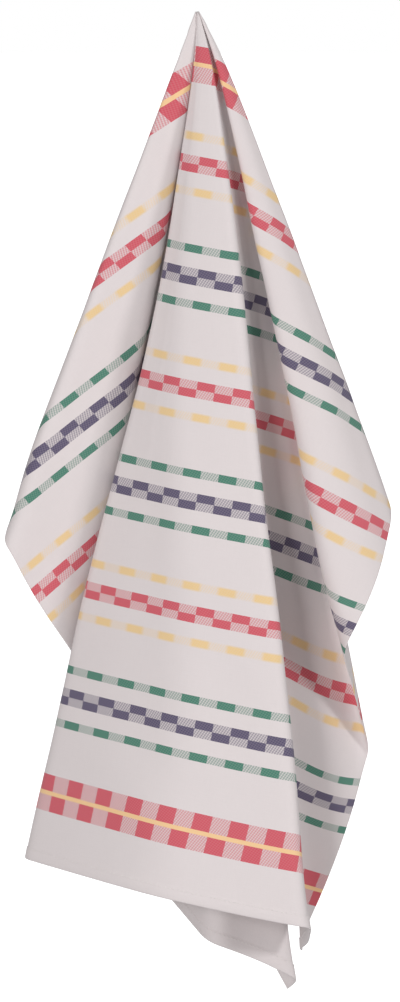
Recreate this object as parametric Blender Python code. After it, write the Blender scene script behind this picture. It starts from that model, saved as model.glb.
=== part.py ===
# Tea towel hung from one point of its top edge, as one folded sheet of cloth.
#
# The origin is the hanging point. +Z is up, -Y is the front, +X is the right.
# Every fold runs down from the hanging point, so each row of foldTable gives one
# fold by its place in a level plan at unit drop below that point, in the order met
# along the cloth from its left top corner to its right one. It has one place near
# the top and one near the hem. The flat angle of a fold is the arc length of the
# plan curve on a unit sphere, which keeps the cloth at its flat size when unfolded.
import math

import bmesh
import bpy
import numpy as np

# flat cloth, from the hanging point
toLeftSelvedge = 0.3515
toRightSelvedge = 0.2985
toBottomHem = 0.638
toTopHem = 0.012
clothThickness = 0.0010

# gathered tip
neckRadius = 0.040       # the loose folds begin here
tipReach = 0.0445        # the gathered core ends here
tipSides = 40
tipInset = 0.985

clothColour = (0.72, 0.66, 0.66, 1.0)
clothRoughness = 0.92

# how the folds hang
leanBack = math.radians(8.0)     # brings the weight under the hanging point
tipOffset = 0.0084               # the front folds start this far right of the tip
tipOffsetReach = 0.033
middleLeftTop = math.radians(-1.3)   # flat angle of the fold midLeft near the top
middleLeftLow = math.radians(-4.1)   # the same near the hem
lowStart = 0.14                  # the folds change from their top place to their
lowEnd = 0.48                    # low place between these distances

cornerSteps = 5
rowLevels = 13

foldColumns = ("name", "x", "y", "soft", "xLow", "yLow", "softLow")
foldTable = [
    ("leftEnd",       0.190, 0.400, 0.000, 0.190, 0.400, 0.000),
    ("leftBackInner", -0.080, 0.425, 0.080, -0.080, 0.425, 0.080),
    ("leftBackOuter", -0.325, 0.330, 0.070, -0.325, 0.330, 0.070),
    ("leftCurl",      -0.388, 0.190, 0.050, -0.383, 0.190, 0.050),
    ("leftEdge",      -0.377, 0.120, 0.045, -0.372, 0.120, 0.045),
    ("leftInner",     -0.178, 0.192, 0.040, -0.205, 0.202, 0.040),
    ("leftDive",       -0.165, 0.272, 0.030, -0.182, 0.268, 0.030),
    ("leftPass",       -0.030, 0.312, 0.050, -0.030, 0.306, 0.050),
    ("backFold",      0.098, 0.228, 0.026, 0.098, 0.228, 0.026),
    ("backHemRight",  0.048, 0.208, 0.025, 0.048, 0.208, 0.025),
    ("backHemMid",    0.005, 0.178, 0.026, 0.005, 0.178, 0.026),
    ("backHemLeft",   -0.058, 0.292, 0.040, -0.058, 0.292, 0.040),
    ("innerFront",    -0.100, 0.170, 0.040, -0.100, 0.178, 0.040),
    ("innerBack",      -0.150, 0.256, 0.030, -0.158, 0.235, 0.030),
    ("midLeft",       -0.168, 0.148, 0.026, -0.217, 0.180, 0.026),
    ("midDip",        -0.141, 0.117, 0.050, -0.165, 0.134, 0.030),
    ("midCurve",      -0.110, 0.072, 0.045, -0.062, 0.060, 0.060),
    ("midFront",      0.010, 0.045, 0.060, 0.030, 0.048, 0.060),
    ("midRight",      0.122, 0.035, 0.045, 0.116, 0.040, 0.020),
    ("sideStart",     0.103, 0.215, 0.025, 0.101, 0.212, 0.025),
    ("sideMid",        0.160, 0.245, 0.030, 0.162, 0.230, 0.040),
    ("sideValley",     0.246, 0.347, 0.050, 0.229, 0.280, 0.045),
    ("rightLeft",      0.197, 0.170, 0.045, 0.207, 0.130, 0.045),
    ("rightMid",      0.300, 0.178, 0.050, 0.305, 0.145, 0.050),
    ("rightEdge",     0.380, 0.262, 0.030, 0.376, 0.230, 0.030),
    ("rightBackA",    0.300, 0.400, 0.040, 0.300, 0.400, 0.040),
    ("rightBackB",    0.222, 0.375, 0.045, 0.222, 0.345, 0.045),
    ("rightBackC",    0.160, 0.455, 0.050, 0.160, 0.455, 0.050),
    ("rightBackD",    0.000, 0.500, 0.080, 0.000, 0.500, 0.080),
    ("rightEnd",      -0.325, 0.455, 0.000, -0.325, 0.455, 0.000),
]

# where the weave gives a little: flat angle and distance from the hanging point, the
# spread of both, and how far it goes down along its fold and aside, as shares
giveColumns = ("angle", "distance", "angleSpread", "distanceSpread", "down", "aside")
giveTable = [
    (-49.0, 0.480, 8.0, 0.050, 0.014, 0.000),
    (-60.0, 0.410, 6.0, 0.050, -0.012, 0.012),
    (16.0, 0.640, 9.0, 0.160, 0.009, 0.000),
    (32.0, 0.530, 5.0, 0.065, 0.018, -0.004),
    (41.0, 0.410, 8.0, 0.055, 0.022, -0.011),
    (54.0, 0.380, 6.0, 0.045, 0.000, 0.006),
    (28.5, 0.540, 4.5, 0.110, 0.020, 0.001),
    (25.0, 0.710, 3.0, 0.035, -0.007, -0.004),
    (-28.8, 0.735, 3.0, 0.030, 0.012, 0.006),
    (7.0, 0.635, 10.0, 0.060, 0.000, -0.011),
]


def planCurve(xColumn):
    """Plan points at unit drop along the cloth, corners rounded, and fold indices."""
    pts = [np.array(row[xColumn:xColumn + 2]) for row in foldTable]
    out, marks = [pts[0]], {foldTable[0][0]: 0}
    for i in range(1, len(pts) - 1):
        here, soft = pts[i], foldTable[i][xColumn + 2]
        back, ahead = pts[i - 1] - here, pts[i + 1] - here
        backLen, aheadLen = np.linalg.norm(back), np.linalg.norm(ahead)
        a = here + back / backLen * min(soft, 0.46 * backLen)
        b = here + ahead / aheadLen * min(soft, 0.46 * aheadLen)
        marks[foldTable[i][0]] = len(out) + cornerSteps // 2
        for t in np.linspace(0.0, 1.0, cornerSteps):
            out.append((1 - t) ** 2 * a + 2 * t * (1 - t) * here + t * t * b)
    out.append(pts[-1])
    marks[foldTable[-1][0]] = len(out) - 1
    return np.array(out), marks


def splitBoth(top, low, marks, longest=0.045):
    """Adds points on long straight runs of both plans, so the hem follows its line."""
    outTop, outLow, newIndex = [top[0]], [low[0]], {0: 0}
    for i in range(1, len(top)):
        gap = max(np.linalg.norm(top[i] - top[i - 1]), np.linalg.norm(low[i] - low[i - 1]))
        n = max(1, int(math.ceil(gap / longest)))
        for k in range(1, n + 1):
            outTop.append(top[i - 1] + (top[i] - top[i - 1]) * k / n)
            outLow.append(low[i - 1] + (low[i] - low[i - 1]) * k / n)
        newIndex[i] = len(outTop) - 1
    return np.array(outTop), np.array(outLow), {k: newIndex[v] for k, v in marks.items()}


def unitRays(points):
    rays = np.concatenate([points, -np.ones(points.shape[:-1] + (1,))], axis=-1)
    return rays / np.linalg.norm(rays, axis=-1, keepdims=True)


def flatAngles(rays, zeroIndex, zeroAngle):
    steps = np.arccos(np.clip((rays[1:] * rays[:-1]).sum(axis=1), -1.0, 1.0))
    angle = np.r_[0.0, np.cumsum(steps)]
    return angle - angle[zeroIndex] + zeroAngle


topPlan, marks = planCurve(1)
lowPlan, _ = planCurve(4)
topPlan, lowPlan, marks = splitBoth(topPlan, lowPlan, marks)
topAngles = flatAngles(unitRays(topPlan), marks["midLeft"], middleLeftTop)
lowAngles = flatAngles(unitRays(lowPlan), marks["midLeft"], middleLeftLow)
places = np.arange(len(topAngles), dtype=float)


def lowShare(r):
    x = np.clip((r - lowStart) / (lowEnd - lowStart), 0.0, 1.0)
    return x * x * (3 - 2 * x)


def flatAngleAt(fold, r):
    """Flat angle of a fold line, named by its place in the plan, at a distance."""
    top, low = np.interp(fold, places, topAngles), np.interp(fold, places, lowAngles)
    return top + lowShare(r) * (low - top)


def foldAt(angle, r):
    """The fold line that has a flat angle at a distance."""
    low, high = 0.0, len(places) - 1.0
    for _ in range(40):
        middle = 0.5 * (low + high)
        if flatAngleAt(middle, r) < angle:
            low = middle
        else:
            high = middle
    return 0.5 * (low + high)


def coneSurface(r, fold):
    """Middle of the cloth before the tip offset and the lean."""
    s = lowShare(r)[..., None]
    top = np.stack([np.interp(fold, places, topPlan[:, k]) for k in (0, 1)], axis=-1)
    low = np.stack([np.interp(fold, places, lowPlan[:, k]) for k in (0, 1)], axis=-1)
    angle = np.degrees(flatAngleAt(fold, r))
    length, aside = np.array(r), np.zeros_like(r)
    for middle, distance, angleSpread, distanceSpread, downShare, asideShare in giveTable:
        near = np.exp(-((angle - middle) / angleSpread) ** 2
                      - ((r - distance) / distanceSpread) ** 2)
        length = length + downShare * near * r
        aside = aside + asideShare * near * r
    out = unitRays(top * (1 - s) + low * s) * length[..., None]
    out[..., 0] += aside
    return out


def hungPlace(p):
    """Moves points of the cone to their hung place: tip offset, then lean."""
    x, y, z = p[..., 0], p[..., 1], p[..., 2]
    drop = np.maximum(-z, 1e-6)
    share = np.clip((x / drop + 0.37) / 0.27, 0.0, 1.0)
    x = x + tipOffset * share * (1.0 - np.exp(-drop / tipOffsetReach))
    c, s = math.cos(leanBack), math.sin(leanBack)
    return np.stack([x, c * y + s * z, c * z - s * y], axis=-1)


def flatReach(angle):
    """Distance from the hanging point to the cloth's edge in one flat direction."""
    u, v = math.sin(angle), math.cos(angle)
    side = toLeftSelvedge if u < 0 else toRightSelvedge
    limits = [side / abs(u)] if abs(u) > 1e-6 else []
    if v > 1e-6:
        limits.append(toBottomHem / v)
    return min(limits)


def reachOf(fold):
    """Distance from the hanging point to the cloth's edge along one fold line."""
    r = flatReach(float(flatAngleAt(fold, 0.5)))
    for _ in range(60):
        r = 0.5 * r + 0.5 * flatReach(float(flatAngleAt(fold, r)))
    return r


def foldLines():
    """Fold lines of the solid: inside both top corners, one through each low one."""
    left = math.atan2(-toLeftSelvedge, -toTopHem) + 0.02
    right = math.atan2(toRightSelvedge, -toTopHem) - 0.02
    lines = [p for p in places
             if min(topAngles[int(p)], lowAngles[int(p)]) > left
             and max(topAngles[int(p)], lowAngles[int(p)]) < right]
    for side in (-toLeftSelvedge, toRightSelvedge):
        corner = math.atan2(side, toBottomHem)
        fold = foldAt(corner, flatReach(corner))
        nearest = min(range(len(lines)), key=lambda k: abs(lines[k] - fold))
        if abs(lines[nearest] - fold) < 0.3:
            lines[nearest] = fold
        else:
            lines.append(fold)
            lines.sort()
    return np.array(lines)


def roomBeside(rays):
    """Largest offset at unit distance, on each side, that crosses no other cloth."""
    normal = np.cross(rays, np.gradient(rays, axis=0))
    normal /= np.linalg.norm(normal, axis=1)[:, None]
    room = np.full((2, len(rays)), 1e3)
    for i in range(len(rays)):
        away = rays - rays[i]
        square = (away ** 2).sum(axis=1)
        for k, side in enumerate((-1, 1)):
            toward = (away @ normal[i]) * side
            near = toward > 1e-7
            if near.any():
                room[k, i] = (square[near] / (2 * toward[near])).min()
    return room


def sheetSolid():
    folds = foldLines()
    count = len(folds)
    share = (np.arange(rowLevels) / (rowLevels - 1)) ** 1.15
    edges = np.array([reachOf(fold) for fold in folds])
    r = neckRadius + (edges[:, None] - neckRadius) * share[None, :]
    fold = np.repeat(folds[:, None], rowLevels, axis=1)
    middle = coneSurface(r, fold)
    normal = np.cross(np.gradient(middle, axis=1), np.gradient(middle, axis=0))
    normal /= np.linalg.norm(normal, axis=2)[..., None]
    topRoom, lowRoom, s = roomBeside(unitRays(topPlan)), roomBeside(unitRays(lowPlan)), lowShare(r)
    bm = bmesh.new()
    grid = {}
    for k, side in enumerate((-1, 1)):
        room = (np.interp(fold, places, topRoom[k]) * (1 - s) + np.interp(fold, places, lowRoom[k]) * s) * r
        offset = np.minimum(clothThickness / 2, 0.8 * room)
        points = hungPlace(middle + normal * (offset * side)[..., None])
        for i in range(count):
            for j in range(rowLevels):
                grid[i, j, side] = bm.verts.new(tuple(points[i, j]))
    for i in range(count - 1):
        for j in range(rowLevels - 1):
            for side in (-1, 1):
                quad = [grid[i, j, side], grid[i + 1, j, side],
                        grid[i + 1, j + 1, side], grid[i, j + 1, side]]
                bm.faces.new(quad if side > 0 else quad[::-1])
    for i in range(count - 1):
        for j in (0, rowLevels - 1):
            bm.faces.new([grid[i, j, -1], grid[i + 1, j, -1],
                          grid[i + 1, j, 1], grid[i, j, 1]])
    for j in range(rowLevels - 1):
        for i in (0, count - 1):
            bm.faces.new([grid[i, j, -1], grid[i, j + 1, -1],
                          grid[i, j + 1, 1], grid[i, j, 1]])
    bmesh.ops.recalc_face_normals(bm, faces=bm.faces)
    bmesh.ops.triangulate(bm, faces=bm.faces)
    return bm


def tipSolid():
    """The gathered core: a pleated cone whose sides follow the outer folds."""
    points = topPlan
    centre = np.array([(points[:, 0].min() + points[:, 0].max()) / 2,
                       (points[:, 1].min() + points[:, 1].max()) / 2])
    bm = bmesh.new()
    levels = (0.0, 0.35, 0.72, 1.0)
    rings = []
    for k in range(tipSides):
        turn = 2 * math.pi * k / tipSides
        ray = np.array([math.cos(turn), math.sin(turn)])
        far = 0.0
        for a, b in zip(points[:-1], points[1:]):
            edge = b - a
            den = ray[0] * edge[1] - ray[1] * edge[0]
            if abs(den) < 1e-12:
                continue
            d = a - centre
            t = (d[0] * edge[1] - d[1] * edge[0]) / den
            s = (d[0] * ray[1] - d[1] * ray[0]) / den
            if 0.0 <= s <= 1.0 and t > far:
                far = t
        outline = centre + ray * far * tipInset
        column = []
        direction = unitRays(outline[None, :])[0]
        for f in levels[1:]:
            column.append(bm.verts.new(tuple(hungPlace(direction * tipReach * f))))
        rings.append(column)
    apex = bm.verts.new((0.0, 0.0, 0.0))
    cap = bm.verts.new(tuple(hungPlace(unitRays(centre[None, :])[0] * tipReach)))
    for k in range(tipSides):
        a, b = rings[k], rings[(k + 1) % tipSides]
        bm.faces.new([apex, a[0], b[0]])
        for j in range(len(levels) - 2):
            bm.faces.new([a[j], a[j + 1], b[j + 1], b[j]])
        bm.faces.new([a[-1], cap, b[-1]])
    bmesh.ops.recalc_face_normals(bm, faces=bm.faces)
    bmesh.ops.triangulate(bm, faces=bm.faces)
    return bm


def clothMaterial():
    material = bpy.data.materials.new("woven_cotton")
    material.use_nodes = True
    shader = material.node_tree.nodes["Principled BSDF"]
    shader.inputs["Base Color"].default_value = clothColour
    shader.inputs["Roughness"].default_value = clothRoughness
    shader.inputs["Metallic"].default_value = 0.0
    return material


def newObject(name, bm):
    mesh = bpy.data.meshes.new(name)
    bm.to_mesh(mesh)
    bm.free()
    item = bpy.data.objects.new(name, mesh)
    bpy.context.scene.collection.objects.link(item)
    return item


def joinSolids(keep, other):
    modifier = keep.modifiers.new("join", "BOOLEAN")
    modifier.operation = "UNION"
    modifier.solver = "EXACT"
    modifier.object = other
    graph = bpy.context.evaluated_depsgraph_get()
    mesh = bpy.data.meshes.new_from_object(keep.evaluated_get(graph))
    keep.modifiers.clear()
    keep.data = mesh
    bpy.data.objects.remove(other, do_unlink=True)
    bm = bmesh.new()
    bm.from_mesh(mesh)
    bmesh.ops.remove_doubles(bm, verts=bm.verts, dist=1e-6)
    bmesh.ops.dissolve_degenerate(bm, edges=bm.edges, dist=1e-6)
    bmesh.ops.triangulate(bm, faces=bm.faces)
    bm.to_mesh(mesh)
    bm.free()
    mesh.shade_smooth()
    mesh.set_sharp_from_angle(angle=math.radians(50))


for item in list(bpy.data.objects):
    bpy.data.objects.remove(item, do_unlink=True)

towel = newObject("tea_towel", sheetSolid())
joinSolids(towel, newObject("tip", tipSolid()))
towel.data.materials.clear()
towel.data.materials.append(clothMaterial())
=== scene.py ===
import math

import bmesh
import bpy
import numpy as np
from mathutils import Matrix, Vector, noise


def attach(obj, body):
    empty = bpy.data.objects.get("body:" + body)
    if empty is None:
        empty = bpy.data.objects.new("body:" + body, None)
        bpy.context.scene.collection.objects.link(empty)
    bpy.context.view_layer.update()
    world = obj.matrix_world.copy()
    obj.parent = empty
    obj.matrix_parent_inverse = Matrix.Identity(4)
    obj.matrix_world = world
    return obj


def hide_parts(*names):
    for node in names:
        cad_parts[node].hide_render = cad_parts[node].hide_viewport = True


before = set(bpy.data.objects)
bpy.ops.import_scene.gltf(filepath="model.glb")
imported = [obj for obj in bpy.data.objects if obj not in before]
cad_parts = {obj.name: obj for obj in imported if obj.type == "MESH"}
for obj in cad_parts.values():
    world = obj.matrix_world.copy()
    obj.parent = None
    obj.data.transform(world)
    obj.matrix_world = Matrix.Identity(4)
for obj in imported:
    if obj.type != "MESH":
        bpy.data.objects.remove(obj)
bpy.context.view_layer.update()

# The towel hangs from the origin, and every fold line runs down from there. A row
# gives one fold by its place in a level plan at unit drop, as the camera sees it:
# x, y and rounding near the top, then the same near the hem. The rows follow the
# cloth from its left top corner to its right one.
foldTable = [
    ("leftEnd",        0.190,  0.400,  0.000,  0.190,  0.400,  0.000),
    ("leftBackInner", -0.080,  0.425,  0.080, -0.080,  0.425,  0.080),
    ("leftBackOuter", -0.325,  0.330,  0.070, -0.325,  0.330,  0.070),
    ("leftCurl",      -0.388,  0.190,  0.050, -0.383,  0.190,  0.050),
    ("leftEdge",      -0.377,  0.120,  0.045, -0.372,  0.120,  0.045),
    ("leftInner",     -0.178,  0.192,  0.040, -0.205,  0.202,  0.040),
    ("leftDive",      -0.165,  0.272,  0.030, -0.182,  0.268,  0.030),
    ("leftPass",      -0.030,  0.312,  0.050, -0.030,  0.306,  0.050),
    ("backFold",       0.098,  0.228,  0.026,  0.098,  0.228,  0.026),
    ("backHemRight",   0.048,  0.208,  0.025,  0.048,  0.208,  0.025),
    ("backHemMid",     0.005,  0.178,  0.026,  0.005,  0.178,  0.026),
    ("backHemLeft",   -0.058,  0.292,  0.040, -0.058,  0.292,  0.040),
    ("innerFront",    -0.100,  0.170,  0.040, -0.100,  0.178,  0.040),
    ("innerBack",     -0.150,  0.256,  0.030, -0.158,  0.235,  0.030),
    ("midLeft",       -0.168,  0.148,  0.026, -0.217,  0.180,  0.026),
    ("midDip",        -0.141,  0.117,  0.050, -0.165,  0.134,  0.030),
    ("midCurve",      -0.110,  0.072,  0.045, -0.062,  0.060,  0.060),
    ("midFront",       0.010,  0.045,  0.060,  0.030,  0.048,  0.060),
    ("midRight",       0.122,  0.035,  0.045,  0.116,  0.040,  0.020),
    ("sideStart",      0.103,  0.215,  0.025,  0.101,  0.212,  0.025),
    ("sideMid",        0.160,  0.245,  0.030,  0.162,  0.230,  0.040),
    ("sideValley",     0.246,  0.347,  0.050,  0.229,  0.280,  0.045),
    ("rightLeft",      0.197,  0.170,  0.045,  0.207,  0.130,  0.045),
    ("rightMid",       0.300,  0.178,  0.050,  0.305,  0.145,  0.050),
    ("rightEdge",      0.380,  0.262,  0.030,  0.376,  0.230,  0.030),
    ("rightBackA",     0.300,  0.400,  0.040,  0.300,  0.400,  0.040),
    ("rightBackB",     0.222,  0.375,  0.045,  0.222,  0.345,  0.045),
    ("rightBackC",     0.160,  0.455,  0.050,  0.160,  0.455,  0.050),
    ("rightBackD",     0.000,  0.500,  0.080,  0.000,  0.500,  0.080),
    ("rightEnd",      -0.325,  0.455,  0.000, -0.325,  0.455,  0.000),
]

# Where the weave gives a little: flat angle in degrees and distance from the hanging
# point, the spread of both, and how far it goes down along its fold and aside, as shares.
giveTable = [
    (-49.0, 0.480, 8.0, 0.050, 0.014, 0.000),
    (-60.0, 0.410, 6.0, 0.050, -0.012, 0.012),
    (16.0, 0.640, 9.0, 0.160, 0.009, 0.000),
    (32.0, 0.530, 5.0, 0.065, 0.018, -0.004),
    (41.0, 0.410, 8.0, 0.055, 0.022, -0.011),
    (54.0, 0.380, 6.0, 0.045, 0.000, 0.006),
    (28.5, 0.540, 4.5, 0.110, 0.020, 0.001),
    (25.0, 0.710, 3.0, 0.035, -0.007, -0.004),
    (-28.8, 0.735, 3.0, 0.030, 0.012, 0.006),
    (7.0, 0.635, 10.0, 0.060, 0.000, -0.011),
]

cloth = {
    "leftWidth": 0.3515,       # hanging point to left selvedge, flat
    "rightWidth": 0.2985,
    "drop": 0.638,             # hanging point to bottom hem, flat
    "topStrip": 0.012,         # cloth above the hanging point
    "thickness": 0.00065,
    "hemThickness": 0.0015,
    "hemWidth": 0.0092,
    "start": 0.0015,           # first grid point down each fold
    "lean": math.radians(8.0),
    "tipOffset": 0.0084,       # the front folds start this far right of the tip
    "tipOffsetReach": 0.033,
    "tipOffsetFrom": 0.37,     # none left of this share of the drop, all after the span
    "tipOffsetSpan": 0.27,
    "midLeftTop": math.radians(-1.3),    # flat angle of the front panel's left fold
    "midLeftLow": math.radians(-4.1),
    "lowStart": 0.14,          # distances between which the plan changes
    "lowEnd": 0.48,
    "bands": (0.0, 0.0008, 0.0045, 0.0083, 0.0095, 0.0110),    # grid lines along a hem
    "bandTurn": 0.0085,        # most turn of a band from an end line, at the tip
    "bandTurnSine": 0.9,
    "endMargin": 0.05,         # no fold line of the plan this near an end line
    "cornerSteps": 9,
    "cornerShare": 0.46,       # of a plan run that a rounded fold may take
    "longest": 0.013,          # run of the plan without a grid line
    "rows": 84,
    "rowSpread": 1.1,
    "halvings": 26,
    "reachSteps": 60,
    "roomShare": 0.8,          # of the free room beside the cloth
    "calmShare": 0.45,
    "faceShare": 0.5,
    "calmFrom": 0.03,          # creases grow from here over this distance
    "calmSpan": 0.12,
    "hemStep": (0.0009, 0.0012),    # where the hem's inner edge steps down, and how far
    "rimRound": 0.0008,
}


def planCurve(xColumn):
    # plan points along the cloth at unit drop, with rounded folds
    pts = [np.array(row[xColumn:xColumn + 2]) for row in foldTable]
    out, marks = [pts[0]], {foldTable[0][0]: 0}
    for i in range(1, len(pts) - 1):
        here, soft = pts[i], foldTable[i][xColumn + 2]
        back, ahead = pts[i - 1] - here, pts[i + 1] - here
        backLen, aheadLen = np.linalg.norm(back), np.linalg.norm(ahead)
        a = here + back / backLen * min(soft, cloth["cornerShare"] * backLen)
        b = here + ahead / aheadLen * min(soft, cloth["cornerShare"] * aheadLen)
        marks[foldTable[i][0]] = len(out) + cloth["cornerSteps"] // 2
        for t in np.linspace(0.0, 1.0, cloth["cornerSteps"]):
            out.append((1 - t) ** 2 * a + 2 * t * (1 - t) * here + t * t * b)
    out.append(pts[-1])
    marks[foldTable[-1][0]] = len(out) - 1
    return np.array(out), marks


def splitBoth(top, low, marks):
    # more points on the straight runs, the same ones in both plans
    outTop, outLow, newIndex = [top[0]], [low[0]], {0: 0}
    for i in range(1, len(top)):
        gap = max(np.linalg.norm(top[i] - top[i - 1]), np.linalg.norm(low[i] - low[i - 1]))
        n = max(1, int(math.ceil(gap / cloth["longest"])))
        for k in range(1, n + 1):
            outTop.append(top[i - 1] + (top[i] - top[i - 1]) * k / n)
            outLow.append(low[i - 1] + (low[i] - low[i - 1]) * k / n)
        newIndex[i] = len(outTop) - 1
    return np.array(outTop), np.array(outLow), {k: newIndex[v] for k, v in marks.items()}


def unitRays(points):
    rays = np.concatenate([points, -np.ones(points.shape[:-1] + (1,))], axis=-1)
    return rays / np.linalg.norm(rays, axis=-1, keepdims=True)


def flatAngles(rays, zeroIndex, zeroAngle):
    steps = np.arccos(np.clip((rays[1:] * rays[:-1]).sum(axis=1), -1.0, 1.0))
    angle = np.r_[0.0, np.cumsum(steps)]
    return angle - angle[zeroIndex] + zeroAngle


topPlan, marks = planCurve(1)
lowPlan, _ = planCurve(4)
topPlan, lowPlan, marks = splitBoth(topPlan, lowPlan, marks)
topAngles = flatAngles(unitRays(topPlan), marks["midLeft"], cloth["midLeftTop"])
lowAngles = flatAngles(unitRays(lowPlan), marks["midLeft"], cloth["midLeftLow"])
for name in ("leftEdge", "backFold", "midLeft", "midRight", "rightLeft", "rightEdge"):
    atFold = [round(math.degrees(angles[marks[name]]), 1) for angles in (topAngles, lowAngles)]
    print("fold", name, *atFold)


def smoothStep(x):
    x = np.clip(x, 0.0, 1.0)
    return x * x * (3 - 2 * x)


def lowShare(r):
    return smoothStep((r - cloth["lowStart"]) / (cloth["lowEnd"] - cloth["lowStart"]))


def flatAngleAt(fold, r):
    # a fold line is named by its place in the plan's list
    places = np.arange(len(topAngles))
    top, low = np.interp(fold, places, topAngles), np.interp(fold, places, lowAngles)
    return top + lowShare(r) * (low - top)


def foldAt(angle, r):
    # fold line at a flat angle and distance, by halving
    low, high = np.zeros_like(angle), np.full_like(angle, len(topAngles) - 1.0)
    for _ in range(cloth["halvings"]):
        middle = 0.5 * (low + high)
        before = flatAngleAt(middle, r) < angle
        low, high = np.where(before, middle, low), np.where(before, high, middle)
    return 0.5 * (low + high)


def coneSurface(r, fold):
    # place of the cloth's mid surface before tip offset and lean
    places = np.arange(len(topAngles))
    s = lowShare(r)[..., None]
    top = np.stack([np.interp(fold, places, topPlan[:, k]) for k in (0, 1)], axis=-1)
    low = np.stack([np.interp(fold, places, lowPlan[:, k]) for k in (0, 1)], axis=-1)
    angle = np.degrees(flatAngleAt(fold, r))
    length, aside = np.array(r), np.zeros_like(r)
    for middle, distance, angleSpread, distanceSpread, downShare, asideShare in giveTable:
        away = ((angle - middle) / angleSpread) ** 2 + ((r - distance) / distanceSpread) ** 2
        near = np.exp(-away)
        length = length + downShare * near * r
        aside = aside + asideShare * near * r
    out = unitRays(top * (1 - s) + low * s) * length[..., None]
    out[..., 0] += aside
    return out


def hungPlace(p):
    # the front folds start right of the tip, and the whole leans back
    x, y, z = p[..., 0], p[..., 1], p[..., 2]
    drop = np.maximum(-z, 1e-6)
    share = np.clip((x / drop + cloth["tipOffsetFrom"]) / cloth["tipOffsetSpan"], 0.0, 1.0)
    x = x + cloth["tipOffset"] * share * (1 - np.exp(-drop / cloth["tipOffsetReach"]))
    c, s = math.cos(cloth["lean"]), math.sin(cloth["lean"])
    return np.stack([x, c * y + s * z, c * z - s * y], axis=-1)


def flatReach(angle):
    # distance from the hanging point to the cloth's edge
    u, v = np.sin(angle), np.cos(angle)
    side = np.where(u < 0, cloth["leftWidth"], cloth["rightWidth"]) / np.maximum(np.abs(u), 1e-6)
    return np.minimum(side, np.where(v > 1e-6, cloth["drop"] / np.maximum(v, 1e-6), 1e3))


def reachOf(fold):
    # the same along a fold line, whose angle changes with the distance
    r = flatReach(fold)
    for _ in range(cloth["reachSteps"]):
        r = 0.5 * r + 0.5 * flatReach(flatAngleAt(fold, r))
    return r


def roomBeside(points, normal):
    # largest offset to each side that crosses no other cloth, at unit distance
    room = np.full((2, len(points)), 1e3)
    for i in range(len(points)):
        away = points - points[i]
        square = (away ** 2).sum(axis=1)
        for k, side in enumerate((-1, 1)):
            toward = (away @ normal[i]) * side
            near = toward > 1e-7
            if near.any():
                room[k, i] = (square[near] / (2 * toward[near])).min()
    return room


# Soft troughs and ridges in the cloth: both ends, width and height, in its own flat
# metres from the hanging point.
creaseTable = [
    (0.010, 0.300, 0.060, 0.600, 0.022, -0.0016),
    (0.090, 0.380, 0.150, 0.560, 0.018, 0.0012),
    (-0.010, 0.540, 0.120, 0.620, 0.020, 0.0012),
    (-0.200, 0.120, -0.170, 0.210, 0.016, -0.0010),
    (0.200, 0.170, 0.240, 0.290, 0.020, 0.0012),
    (-0.280, 0.560, -0.140, 0.600, 0.022, 0.0016),
    (0.190, 0.420, 0.280, 0.520, 0.022, -0.0014),
]
unevenness = {
    "scale": (9.0, 6.0),
    "seed": 3.7,
    "height": 0.0016,
    "fineScale": 3.1,
    "fineHeight": 0.0004,
    "creaseFade": 4.0,         # a crease fades over a quarter of its length at each end
}


def creaseHeight(u, v):
    total = np.zeros_like(u)
    for u0, v0, u1, v1, width, depth in creaseTable:
        du, dv = u1 - u0, v1 - v0
        t = np.clip(((u - u0) * du + (v - v0) * dv) / (du * du + dv * dv), 0.0, 1.0)
        away = np.hypot(u - u0 - t * du, v - v0 - t * dv)
        fade = unevenness["creaseFade"]
        ends = smoothStep(t * fade) * smoothStep((1 - t) * fade)
        total += depth * np.exp(-(away / width) ** 2) * ends
    return total


def unevenHeight(u, v):
    out = np.zeros_like(u)
    across, along = unevenness["scale"]
    for index in np.ndindex(u.shape):
        p = Vector((u[index] * across, v[index] * along, unevenness["seed"]))
        fine = noise.noise(p * unevenness["fineScale"]) * unevenness["fineHeight"]
        out[index] = noise.noise(p) * unevenness["height"] + fine
    return out


def clothGrid():
    # fold and distance of every grid point: lines down the folds, bands along the hems
    left = math.atan2(-cloth["leftWidth"], -cloth["topStrip"])
    right = math.atan2(cloth["rightWidth"], -cloth["topStrip"])
    inner = np.arange(len(topAngles), dtype=float)
    afterLeft = np.minimum(topAngles, lowAngles) > left + cloth["endMargin"]
    beforeRight = np.maximum(topAngles, lowAngles) < right - cloth["endMargin"]
    inner = inner[afterLeft & beforeRight]
    for side in (-cloth["leftWidth"], cloth["rightWidth"]):
        corner = np.array([math.atan2(side, cloth["drop"])])
        cornerFold = foldAt(corner, flatReach(corner))[0]
        inner[np.argmin(np.abs(inner - cornerFold))] = cornerFold
    band = np.array(cloth["bands"])
    rowShare = np.linspace(0.0, 1.0, cloth["rows"])[:-1] ** cloth["rowSpread"]

    def rowsTo(edge, along):
        stops = edge - band[::-1] / along
        rest = cloth["start"] + (stops[0] - cloth["start"]) * rowShare
        return np.concatenate([rest, stops])

    def endLine(end, way, k):
        r = rowsTo(float(flatReach(np.array([end]))[0]), 1.0)
        sine = np.minimum(band[k] / r, cloth["bandTurnSine"])
        turn = np.minimum(np.arcsin(sine), cloth["bandTurn"] * k)
        return foldAt(end + way * turn, r), r

    lines = [endLine(left, 1, k) for k in range(len(band))]
    edges = reachOf(inner)
    for fold, edge in zip(inner, edges):
        angle = float(flatAngleAt(fold, edge))
        atBottom = edge * math.cos(angle) > cloth["drop"] - 1e-5
        r = rowsTo(edge, math.cos(angle) if atBottom else abs(math.sin(angle)))
        lines.append((np.full_like(r, fold), r))
    lines += [endLine(right, -1, k) for k in reversed(range(len(band)))]
    return np.array([f for f, _ in lines]), np.array([r for _, r in lines])


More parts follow.
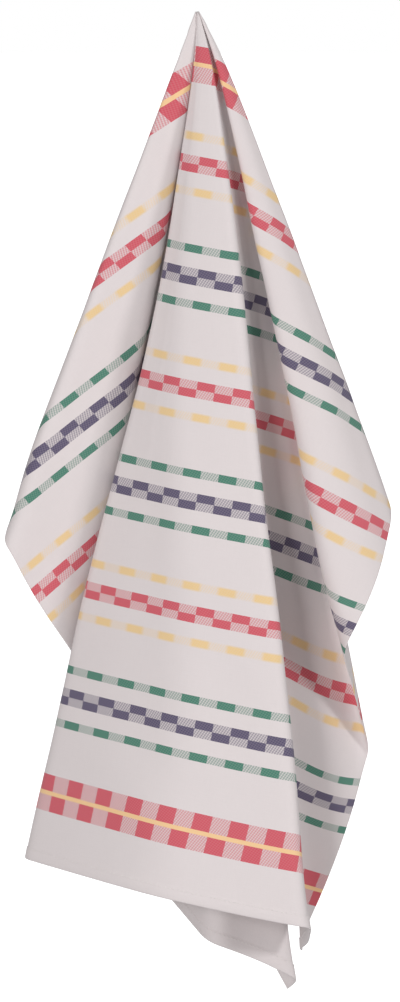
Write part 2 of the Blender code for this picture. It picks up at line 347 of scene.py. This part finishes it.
def normalOf(surface):
    out = np.cross(np.gradient(surface, axis=1), np.gradient(surface, axis=0))
    return out / np.maximum(np.linalg.norm(out, axis=-1, keepdims=True), 1e-12)


def planRoom(plan):
    # room on both sides of a level plan at unit drop
    level = unitRays(plan)
    normal = np.cross(level, np.gradient(level, axis=0))
    return roomBeside(level, normal / np.linalg.norm(normal, axis=1)[:, None])


def buildCloth(name):
    fold, r = clothGrid()
    angle = flatAngleAt(fold, r)
    u, v = r * np.sin(angle), r * np.cos(angle)
    mid = coneSurface(r, fold)
    normal = normalOf(mid)
    # how far the cloth may leave its fold surface before it meets other cloth
    places = np.arange(len(topAngles))
    topRoom, lowRoom, s = planRoom(topPlan), planRoom(lowPlan), lowShare(r)
    side = []
    for k in (0, 1):
        top, low = np.interp(fold, places, topRoom[k]), np.interp(fold, places, lowRoom[k])
        side.append((top * (1 - s) + low * s) * r * cloth["roomShare"])
    calm = np.minimum(side[0], side[1])
    height = creaseHeight(u, v) + unevenHeight(u, v)
    most = cloth["calmShare"] * calm
    height = np.clip(height, -most, most) * smoothStep((r - cloth["calmFrom"]) / cloth["calmSpan"])
    mid = mid + normal * height[..., None]
    normal = normalOf(mid)
    # thickness: more in the hems, less at the rim
    widthShare = np.where(u < 0, -u / cloth["leftWidth"], u / cloth["rightWidth"])
    hemGap = np.minimum(cloth["drop"] - v, v + cloth["topStrip"] * widthShare + 1e-9)
    stepBack, stepSpan = cloth["hemStep"]
    inHem = 1 - smoothStep((hemGap - cloth["hemWidth"] + stepBack) / stepSpan)
    half = 0.5 * (cloth["thickness"] + (cloth["hemThickness"] - cloth["thickness"]) * inHem)
    rim = np.minimum(hemGap, np.minimum(cloth["leftWidth"] + u, cloth["rightWidth"] - u))
    half = half * (0.5 + 0.5 * smoothStep(rim / cloth["rimRound"]))
    faces = []
    for k, way in ((0, -1), (1, 1)):
        lift = np.minimum(half, side[k] * cloth["faceShare"])
        faces.append(hungPlace(mid + normal * way * lift[..., None]))
    columns, rows = r.shape
    verts = np.concatenate([f.reshape(-1, 3) for f in faces])
    total = columns * rows
    # both faces, then the rim along the rows and the columns
    quads = []
    for i in range(columns - 1):
        for j in range(rows - 1):
            a, b, c, d = i * rows + j, (i + 1) * rows + j, (i + 1) * rows + j + 1, i * rows + j + 1
            quads.append((a, b, c, d))
            quads.append((a + total, d + total, c + total, b + total))
    for i in range(columns - 1):
        for j, flip in ((0, False), (rows - 1, True)):
            a, b = i * rows + j, (i + 1) * rows + j
            quads.append((a, b, b + total, a + total) if flip else (b, a, a + total, b + total))
    for j in range(rows - 1):
        for i, flip in ((0, True), (columns - 1, False)):
            a, b = i * rows + j, i * rows + j + 1
            quads.append((a, b, b + total, a + total) if flip else (b, a, a + total, b + total))
    mesh = bpy.data.meshes.new(name)
    mesh.from_pydata([tuple(p) for p in verts], [], quads)
    uvLayer = mesh.uv_layers.new(name="flatCloth")
    flatU = (u + cloth["leftWidth"]) / (cloth["leftWidth"] + cloth["rightWidth"])
    flatV = 1 - (v + cloth["topStrip"]) / (cloth["drop"] + cloth["topStrip"])
    loopVerts = np.empty(len(mesh.loops), dtype=np.int32)
    mesh.loops.foreach_get("vertex_index", loopVerts)
    uv = np.stack([flat.reshape(-1)[loopVerts % total] for flat in (flatU, flatV)], axis=1)
    uvLayer.data.foreach_set("uv", uv.reshape(-1))
    bm = bmesh.new()
    bm.from_mesh(mesh)
    bmesh.ops.recalc_face_normals(bm, faces=bm.faces)
    bm.to_mesh(mesh)
    bm.free()
    mesh.shade_smooth()
    item = bpy.data.objects.new(name, mesh)
    bpy.context.scene.collection.objects.link(item)
    print("cloth", columns, "by", rows, "points a face,", len(mesh.polygons), "faces")
    return item, seamPaths(faces, side, half, r, v)


# hem stitches along their lines, by Geometry Nodes
stitch = {
    "band": 3,                 # grid band 8 mm from the edge
    "startDistance": 0.06,
    "clearRoom": 0.0012,       # free room that a stitch needs beside the cloth
    "lift": 0.0001,
    "lineSlack": 0.0006,       # a point this near the bottom hem's band lies on it
    "pitch": 0.0035,
    "length": 0.0024,
    "radius": 0.00028,
    "around": 6,
    "rings": 4,
    "colour": (0.93, 0.91, 0.90),
    "dimShare": 0.88,
    "fibreScale": 2600.0,
    "roughness": 0.8,
    "specular": 0.2,
}


def seamPaths(faces, side, half, r, v):
    # rows of hem stitches on both faces, left out where layers lie pressed together
    band = stitch["band"]
    atBottom = np.abs(v[:, -1 - band] - cloth["drop"] + cloth["bands"][band]) < stitch["lineSlack"]
    paths = []
    for k in (0, 1):
        out = faces[k] - faces[1 - k]
        out = out / np.maximum(np.linalg.norm(out, axis=-1, keepdims=True), 1e-9)
        free = (side[k] > 2 * half + stitch["clearRoom"]) & (r > stitch["startDistance"])
        lifted = faces[k] + out * stitch["lift"]
        rowList = [(lifted[:, -1 - band], free[:, -1 - band] & atBottom)]
        rowList += [(lifted[c, :-2], free[c, :-2]) for c in (band, -1 - band)]
        for points, good in rowList:
            run = []
            for point, fine in list(zip(points, good)) + [(None, False)]:
                if fine:
                    run.append(tuple(point))
                    continue
                if len(run) > 2:
                    paths.append(run)
                run = []
    return paths


def stitchTree(material):
    tree = bpy.data.node_groups.new("hemStitchTree", "GeometryNodeTree")
    tree.interface.new_socket("Geometry", in_out="INPUT", socket_type="NodeSocketGeometry")
    for name in ("Pitch", "Length", "Radius"):
        tree.interface.new_socket(name, in_out="INPUT", socket_type="NodeSocketFloat")
    tree.interface.new_socket("Geometry", in_out="OUTPUT", socket_type="NodeSocketGeometry")
    make, join = tree.nodes.new, tree.links.new
    given, result = make("NodeGroupInput"), make("NodeGroupOutput")
    curve, resample = make("GeometryNodeMeshToCurve"), make("GeometryNodeResampleCurve")
    tangent = make("GeometryNodeInputTangent")
    resample.mode = "LENGTH"
    turn = make("FunctionNodeAlignRotationToVector")
    turn.axis = "Z"
    grain = make("GeometryNodeMeshUVSphere")
    grain.inputs["Segments"].default_value = stitch["around"]
    grain.inputs["Rings"].default_value = stitch["rings"]
    grain.inputs["Radius"].default_value = 1.0
    halfLength = make("ShaderNodeMath")
    halfLength.operation = "MULTIPLY"
    halfLength.inputs[1].default_value = 0.5
    size = make("ShaderNodeCombineXYZ")
    shaped, spread = make("GeometryNodeTransform"), make("GeometryNodeInstanceOnPoints")
    real, dress = make("GeometryNodeRealizeInstances"), make("GeometryNodeSetMaterial")
    dress.inputs["Material"].default_value = material
    join(given.outputs["Geometry"], curve.inputs[0])
    join(curve.outputs[0], resample.inputs["Curve"])
    join(given.outputs["Pitch"], resample.inputs["Length"])
    join(given.outputs["Length"], halfLength.inputs[0])
    join(given.outputs["Radius"], size.inputs[0])
    join(given.outputs["Radius"], size.inputs[1])
    join(halfLength.outputs[0], size.inputs[2])
    join(grain.outputs["Mesh"], shaped.inputs["Geometry"])
    join(size.outputs[0], shaped.inputs["Scale"])
    join(tangent.outputs[0], turn.inputs["Vector"])
    join(resample.outputs[0], spread.inputs["Points"])
    join(shaped.outputs[0], spread.inputs["Instance"])
    join(turn.outputs[0], spread.inputs["Rotation"])
    join(spread.outputs[0], real.inputs[0])
    join(real.outputs[0], dress.inputs["Geometry"])
    join(dress.outputs[0], result.inputs[0])
    return tree


def buildStitches(name, paths, material):
    verts, edges = [], []
    for path in paths:
        edges += [(len(verts) + i, len(verts) + i + 1) for i in range(len(path) - 1)]
        verts += path
    lineMesh = bpy.data.meshes.new(name + "Line")
    lineMesh.from_pydata(verts, edges, [])
    line = bpy.data.objects.new(name + "Line", lineMesh)
    modifier = line.modifiers.new("stitches", "NODES")
    modifier.node_group = stitchTree(material)
    for socket in modifier.node_group.interface.items_tree:
        if socket.in_out == "INPUT" and socket.name != "Geometry":
            modifier[socket.identifier] = stitch[socket.name.lower()]
    bpy.context.scene.collection.objects.link(line)
    stitched = line.evaluated_get(bpy.context.evaluated_depsgraph_get())
    mesh = bpy.data.meshes.new_from_object(stitched)
    line.modifiers.remove(modifier)
    bpy.data.objects.remove(line)
    mesh.name = name
    mesh.shade_smooth()
    item = bpy.data.objects.new(name, mesh)
    bpy.context.scene.collection.objects.link(item)
    print("stitches", len(paths), "lines", len(mesh.polygons), "faces")
    return item


def threadMaterial(name):
    material = bpy.data.materials.new(name)
    material.use_nodes = True
    tree = material.node_tree
    shader = tree.nodes["Principled BSDF"]
    n = NodeSheet(tree)
    place = n.node("ShaderNodeTexCoord")
    fibres = n.node("ShaderNodeTexNoise")
    fibres.inputs["Scale"].default_value = stitch["fibreScale"]
    tree.links.new(place.outputs["Object"], fibres.inputs["Vector"])
    paleThread = toLinear(stitch["colour"])
    dimThread = toLinear(tuple(c * stitch["dimShare"] for c in stitch["colour"]))
    tree.links.new(n.mix(fibres.outputs[0], paleThread, dimThread), shader.inputs["Base Color"])
    shader.inputs["Roughness"].default_value = stitch["roughness"]
    shader.inputs["Specular IOR Level"].default_value = stitch["specular"]
    return material


# woven cotton with its stripes
weave = {
    "ground": (0.870, 0.835, 0.835),
    "red": (0.800, 0.290, 0.350),
    "navy": (0.300, 0.265, 0.390),
    "green": (0.200, 0.470, 0.390),
    "yellow": (0.915, 0.770, 0.500),
    "line": (0.950, 0.780, 0.560),
    "groundRange": (0.90, 1.08),
    "columnWidth": 0.013265,
    "columnStart": 26.5,       # columns from the left selvedge to the hanging point
    "repeat": 0.161,
    "yellowFirst": 0.12375,
    "greenFirst": 0.20425,
    "wideTop": 0.05175,
    "wideBottom": 0.59825,
    "middleReach": (0.08, 0.565),    # the groups repeat only between these
    "innerRow": 0.0061,
    "outerRow": (0.0171, 0.0229),
    "wideRow": (0.00155, 0.0133),
    "lineCover": 0.9,
    "yellowEdge": 1.5,         # slope of the blurred ends of the yellow checks
    "yellowBlur": 0.0016,
    "yellowShares": (0.86, 0.55),    # cover of its dark and light checks
    "twillPitch": 0.0019,
    "twillLean": 0.47,
    "breakLean": 0.35,
    "breakPitch": 0.0016,
    "lightFloats": (0.22, 0.10, 0.40),    # depth of twill, depth of breaks, cover
    "darkFloats": (0.04, 0.04, 0.91),
    "cloudScale": 28.0,
    "cloudShade": 0.05,
    "slubScales": (1400.0, 90.0),
    "slubShade": 0.10,
    "threadPitch": 0.00062,
    "threadRelief": 0.5,
    "slubRelief": 0.7,
    "bumpStrength": 0.35,
    "bumpDistance": 0.00025,
    "roughness": 0.93,
    "specular": 0.2,
    "sheen": 0.15,
    "sheenRoughness": 0.5,
}


def toLinear(colour):
    # display colour to the linear one of a shader, with alpha
    linear = [c / 12.92 if c <= 0.04045 else ((c + 0.055) / 1.055) ** 2.4 for c in colour]
    return (*linear, 1.0)


class NodeSheet:
    # short ways to add maths nodes to one material
    def __init__(self, tree):
        self.tree = tree
        self.count = 0

    def node(self, kind, **settings):
        item = self.tree.nodes.new(kind)
        item.location = (-1800 + 160 * (self.count // 12), 400 - 130 * (self.count % 12))
        self.count += 1
        for key, value in settings.items():
            setattr(item, key, value)
        return item

    def math(self, operation, a, b=None, c=None):
        item = self.node("ShaderNodeMath", operation=operation)
        for k, value in enumerate((a, b, c)):
            if value is None:
                continue
            if isinstance(value, (int, float)):
                item.inputs[k].default_value = value
            else:
                self.tree.links.new(value, item.inputs[k])
        return item.outputs[0]

    def between(self, value, low, high):
        above, below = self.math("GREATER_THAN", value, low), self.math("LESS_THAN", value, high)
        return self.math("MULTIPLY", above, below)

    def wave(self, value, pitch):
        return self.math("SINE", self.math("MULTIPLY", value, 2 * math.pi / pitch))

    def softBetween(self, value, low, high, blur):
        away = self.math("ABSOLUTE", self.math("SUBTRACT", value, (low + high) / 2))
        item = self.node("ShaderNodeMath", operation="DIVIDE", use_clamp=True)
        self.tree.links.new(self.math("SUBTRACT", (high - low + blur) / 2, away), item.inputs[0])
        item.inputs[1].default_value = blur
        return item.outputs[0]

    def mix(self, factor, a, b):
        item = self.node("ShaderNodeMix", data_type="RGBA")
        for socket, value in ((item.inputs[0], factor), (item.inputs[6], a), (item.inputs[7], b)):
            if isinstance(value, (int, float, tuple)):
                socket.default_value = value
            else:
                self.tree.links.new(value, socket)
        return item.outputs[2]


def stretchedNoise(n, coords, scale):
    # noise drawn out along the threads of one direction
    stretch, slub = n.node("ShaderNodeMapping"), n.node("ShaderNodeTexNoise")
    stretch.inputs["Scale"].default_value = scale
    slub.inputs["Scale"].default_value = 1.0
    n.tree.links.new(coords, stretch.inputs["Vector"])
    n.tree.links.new(stretch.outputs[0], slub.inputs["Vector"])
    return slub.outputs[0]


def clothMaterial(name):
    material = bpy.data.materials.new(name)
    material.use_nodes = True
    tree = material.node_tree
    shader = tree.nodes["Principled BSDF"]
    n = NodeSheet(tree)

    # flat place in metres: u from the left selvedge, v down from the top edge
    uvMap = n.node("ShaderNodeUVMap", uv_map="flatCloth")
    split = n.node("ShaderNodeSeparateXYZ")
    tree.links.new(uvMap.outputs[0], split.inputs[0])
    u = n.math("MULTIPLY", split.outputs[0], cloth["leftWidth"] + cloth["rightWidth"])
    fromTop = n.math("SUBTRACT", 1.0, split.outputs[1])
    v = n.math("MULTIPLY", fromTop, cloth["drop"] + cloth["topStrip"])
    coords = n.node("ShaderNodeCombineXYZ")
    tree.links.new(u, coords.inputs[0])
    tree.links.new(v, coords.inputs[1])

    # columns of checks: sharp ones, and ones with blurred ends for the yellow yarn
    column = n.math("DIVIDE", u, weave["columnWidth"])
    column = n.math("SUBTRACT", column, weave["columnStart"])
    odd = n.math("GREATER_THAN", n.math("FLOORED_MODULO", column, 2.0), 1.0)
    even = n.math("SUBTRACT", 1.0, odd)
    columnWave = n.math("SINE", n.math("MULTIPLY", column, math.pi))
    softOdd = n.math("MULTIPLY_ADD", columnWave, -weave["yellowEdge"], 0.5)
    softOdd = n.math("MINIMUM", n.math("MAXIMUM", softOdd, 0.0), 1.0)
    softEven = n.math("SUBTRACT", 1.0, softOdd)

    # distance from the middle of each stripe group
    half = weave["repeat"] / 2

    def groupOffset(first):
        moved = n.math("ADD", n.math("SUBTRACT", v, first), half)
        return n.math("SUBTRACT", n.math("FLOORED_MODULO", moved, weave["repeat"]), half)

    middle = n.between(v, *weave["middleReach"])
    yellowGroup, greenGroup = groupOffset(weave["yellowFirst"]), groupOffset(weave["greenFirst"])
    wideTop = n.math("SUBTRACT", v, weave["wideTop"])
    wideBottom = n.math("SUBTRACT", v, weave["wideBottom"])

    # rows of checks: offset from the group's middle, its range, yarn and dark columns
    inner, outer = weave["innerRow"], weave["outerRow"]
    wideRow = weave["wideRow"]
    rowTable = [
        (yellowGroup, -outer[1], -outer[0], "yellow", softEven),
        (yellowGroup, -inner, 0.0, "red", odd),
        (yellowGroup, 0.0, inner, "red", even),
        (yellowGroup, outer[0], outer[1], "yellow", softOdd),
        (greenGroup, -outer[1], -outer[0], "green", odd),
        (greenGroup, -inner, 0.0, "navy", even),
        (greenGroup, 0.0, inner, "navy", odd),
        (greenGroup, outer[0], outer[1], "green", even),
        (wideTop, -wideRow[1], -wideRow[0], "red", even),
        (wideTop, wideRow[0], wideRow[1], "red", odd),
        (wideBottom, -wideRow[1], -wideRow[0], "red", odd),
        (wideBottom, wideRow[0], wideRow[1], "red", even),
    ]

    # woven ground with a slight unevenness
    cloudy = n.node("ShaderNodeTexNoise")
    cloudy.inputs["Scale"].default_value = weave["cloudScale"]
    cloudy.inputs["Detail"].default_value = 3.0
    tree.links.new(coords.outputs[0], cloudy.inputs["Vector"])
    fine, long = weave["slubScales"]
    slubWarp = stretchedNoise(n, coords.outputs[0], (fine, long, 1.0))
    slubWeft = stretchedNoise(n, coords.outputs[0], (long, fine, 1.0))
    slub = n.math("ADD", slubWarp, slubWeft)
    slubShade = n.math("MULTIPLY", n.math("SUBTRACT", slub, 1.0), weave["slubShade"])
    cloudShade = n.math("MULTIPLY", n.math("SUBTRACT", cloudy.outputs[0], 0.5), weave["cloudShade"])
    shade = n.math("ADD", slubShade, cloudShade)
    dim, bright = (toLinear(tuple(min(1.0, c * share) for c in weave["ground"]))
                   for share in weave["groundRange"])
    colour = n.mix(n.math("ADD", 0.5, shade), dim, bright)

    # twill floats: thin slanted lines of yarn in the light checks, thin gaps in the dark
    # ones, both broken into dots along a second slant
    slant = n.math("ADD", u, n.math("MULTIPLY", v, weave["twillLean"]))
    twill = n.wave(slant, weave["twillPitch"])
    across = n.math("SUBTRACT", n.math("MULTIPLY", u, weave["breakLean"]), v)
    breaks = n.wave(across, weave["breakPitch"])

    def floats(twillDepth, breakDepth, cover):
        broken = n.math("MULTIPLY_ADD", breaks, breakDepth, cover)
        return n.math("MULTIPLY_ADD", twill, twillDepth, broken)

    lightFloat, darkFloat = floats(*weave["lightFloats"]), floats(*weave["darkFloats"])
    for offset, low, high, yarn, dark in rowTable:
        if yarn == "yellow":
            inRow = n.softBetween(offset, low, high, weave["yellowBlur"])
            darkShare, lightShare = weave["yellowShares"]
        else:
            inRow = n.between(offset, low, high)
            darkShare, lightShare = 1.0, 1.0
        if offset in (yellowGroup, greenGroup):
            inRow = n.math("MULTIPLY", inRow, middle)
        light = n.math("SUBTRACT", 1.0, dark)
        darkCover = n.math("MULTIPLY", dark, n.math("MULTIPLY", darkFloat, darkShare))
        lightCover = n.math("MULTIPLY", light, n.math("MULTIPLY", lightFloat, lightShare))
        cover = n.math("ADD", darkCover, lightCover)
        colour = n.mix(n.math("MULTIPLY", inRow, cover), colour, toLinear(weave[yarn]))
    for offset in (wideTop, wideBottom):
        inLine = n.math("MULTIPLY", n.between(offset, -wideRow[0], wideRow[0]), weave["lineCover"])
        colour = n.mix(inLine, colour, toLinear(weave["line"]))
    tree.links.new(colour, shader.inputs["Base Color"])

    # threads as bump
    threads = n.math("MULTIPLY", n.wave(u, weave["threadPitch"]), n.wave(v, weave["threadPitch"]))
    threadRelief = n.math("MULTIPLY", threads, weave["threadRelief"])
    raised = n.math("ADD", threadRelief, n.math("MULTIPLY", slub, weave["slubRelief"]))
    bump = n.node("ShaderNodeBump")
    bump.inputs["Strength"].default_value = weave["bumpStrength"]
    bump.inputs["Distance"].default_value = weave["bumpDistance"]
    tree.links.new(raised, bump.inputs["Height"])
    tree.links.new(bump.outputs[0], shader.inputs["Normal"])
    shader.inputs["Roughness"].default_value = weave["roughness"]
    shader.inputs["Specular IOR Level"].default_value = weave["specular"]
    shader.inputs["Sheen Weight"].default_value = weave["sheen"]
    shader.inputs["Sheen Roughness"].default_value = weave["sheenRoughness"]
    return material


towel, stitchPaths = buildCloth("towelCloth")
towel.data.materials.append(clothMaterial("wovenCotton"))
stitches = buildStitches("hemStitches", stitchPaths, threadMaterial("hemThread"))
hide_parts("tea_towel")
for piece in (towel, stitches):
    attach(piece, "root")
print("towel dressed")

# pale floor, two soft lights, and a camera at the photograph's angle
studio = {
    "floorDrop": 1.05,
    "floorHalf": 9.0,
    "paint": (0.97, 0.97, 0.97),
    "paintRoughness": 0.9,
    "paintGlow": 1.0,
    "leftLight": (-0.85, -2.92, -0.1),
    "rightLight": (2.6, -1.6, -0.05),
    "lightTarget": (0, 0, -0.4),
    "leftPower": 50.0,
    "rightPower": 28.0,
    "lightSize": 0.55,
    "worldLight": 0.38,
    "worldSeen": 1.0,
    "cameraDistance": 12.0,
    "cameraRise": math.radians(8.0),
    "frameSize": (400, 1002),  # photograph in pixels, its tip, and metres a pixel
    "frameTip": (197, 10),
    "frameScale": 0.0007246,
    "filmHeight": 24.0,
    "clipEnd": 50.0,
}


def buildFloor():
    half = studio["floorHalf"]
    corners = [(-half, -half), (half, -half), (half, half), (-half, half)]
    mesh = bpy.data.meshes.new("paleFloor")
    mesh.from_pydata([(x, y, -studio["floorDrop"]) for x, y in corners], [], [(0, 1, 2, 3)])
    item = bpy.data.objects.new("paleFloor", mesh)
    bpy.context.scene.collection.objects.link(item)
    paint = bpy.data.materials.new("floorPaint")
    paint.use_nodes = True
    shader = paint.node_tree.nodes["Principled BSDF"]
    shader.inputs["Base Color"].default_value = toLinear(studio["paint"])
    shader.inputs["Roughness"].default_value = studio["paintRoughness"]
    shader.inputs["Emission Color"].default_value = (1, 1, 1, 1)
    shader.inputs["Emission Strength"].default_value = studio["paintGlow"]
    mesh.materials.append(paint)
    item.visible_diffuse = False    # white to look at, without lighting the cloth
    item.visible_shadow = False


def addLight(name, place, power):
    light = bpy.data.lights.new(name, "AREA")
    light.energy = power
    light.size = studio["lightSize"]
    item = bpy.data.objects.new(name, light)
    item.location = place
    toTarget = Vector(studio["lightTarget"]) - Vector(place)
    item.rotation_euler = toTarget.to_track_quat("-Z", "Y").to_euler()
    bpy.context.scene.collection.objects.link(item)


def addCamera():
    camera = bpy.data.cameras.new("camera")
    camera.sensor_fit = "VERTICAL"
    item = bpy.data.objects.new("camera", camera)
    bpy.context.scene.collection.objects.link(item)
    bpy.context.scene.camera = item
    d, rise, scale = studio["cameraDistance"], studio["cameraRise"], studio["frameScale"]
    wide, high = studio["frameSize"]
    tipRight, tipDown = studio["frameTip"]
    toRight, toDown = (wide / 2 - tipRight) * scale, (high / 2 - tipDown) * scale
    right = Vector((1, 0, 0))
    forward = Vector((0, math.cos(rise), -math.sin(rise)))
    up = right.cross(forward)
    centre = right * toRight - up * toDown
    item.location = centre - forward * d
    item.rotation_euler = forward.to_track_quat("-Z", "Y").to_euler()
    camera.sensor_height = studio["filmHeight"]
    camera.lens = studio["filmHeight"] * d / (high * scale)
    camera.clip_end = studio["clipEnd"]


buildFloor()
addLight("leftLight", studio["leftLight"], studio["leftPower"])
addLight("rightLight", studio["rightLight"], studio["rightPower"])

# white to look at, with a weaker light of its own
world = bpy.data.worlds.new("studioLight")
world.use_nodes = True
background = world.node_tree.nodes["Background"]
background.inputs[0].default_value = (1, 1, 1, 1)
lightPath = world.node_tree.nodes.new("ShaderNodeLightPath")
strength = world.node_tree.nodes.new("ShaderNodeMapRange")
strength.inputs["To Min"].default_value = studio["worldLight"]
strength.inputs["To Max"].default_value = studio["worldSeen"]
world.node_tree.links.new(lightPath.outputs["Is Camera Ray"], strength.inputs["Value"])
world.node_tree.links.new(strength.outputs[0], background.inputs[1])
bpy.context.scene.world = world
bpy.context.scene.view_settings.view_transform = "Standard"
addCamera()
print("studio ready")
